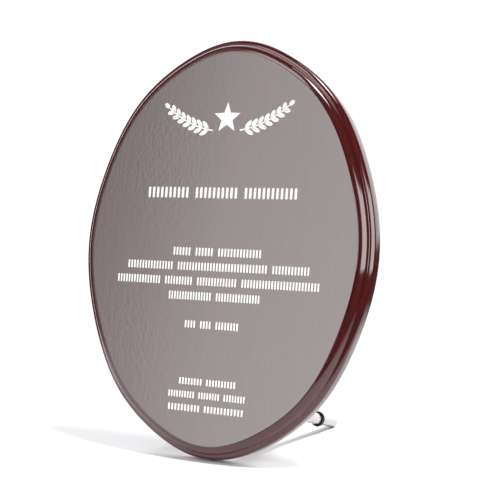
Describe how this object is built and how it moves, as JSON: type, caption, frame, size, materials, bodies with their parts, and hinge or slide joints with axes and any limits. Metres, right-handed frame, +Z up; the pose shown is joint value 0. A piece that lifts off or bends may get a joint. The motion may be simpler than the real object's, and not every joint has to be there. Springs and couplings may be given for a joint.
{
  "type": "oval award plaque",
  "caption": "Leaning oval award plaque: gloss mahogany board with a beaded, gently waved edge, white printed face and screw-in metal legs with rubber rings.",
  "frame": {"origin": "on the table, under the middle of the whole plaque's footprint box", "axes": "+Z up, the face looks towards -Y and leans back, +X to the right of someone facing the plaque's face"},
  "size_m": [0.2, 0.1136, 0.2465],
  "materials": {
    "mahogany_lacquer": "high-gloss lacquer over dark red mahogany stain",
    "face_lacquer": "high-gloss lacquer over vertical-grain mahogany veneer",
    "back_veneer": "satin dark brown veneer",
    "brass": "turned brass",
    "steel": "zinc-plated thread",
    "polished_rod": "polished nickel",
    "black_rubber": "soft satin rubber",
    "white_print": "opaque white print, slightly glossy"
  },
  "bodies": {
    "board": {"core_board": "mahogany_lacquer", "face_sheet": "face_lacquer", "back_sheet": "back_veneer", "insert_left": "brass", "insert_right": "brass", "emblem_print": "white_print", "inscription_print": "white_print"},
    "left_leg": {"stud_left": "steel", "leg_rod_left": "polished_rod", "grip_ring_left": "black_rubber"},
    "right_leg": {"stud_right": "steel", "leg_rod_right": "polished_rod", "grip_ring_right": "black_rubber"}
  },
  "joints": [
    {"name": "left_leg_unscrew", "type": "slide", "parent": "board", "child": "left_leg", "axis": [0, 0.9563, -0.2924], "range_m": [0, 0.006]},
    {"name": "right_leg_unscrew", "type": "slide", "parent": "board", "child": "right_leg", "axis": [0, 0.9563, -0.2924], "range_m": [0, 0.006]}
  ]
}
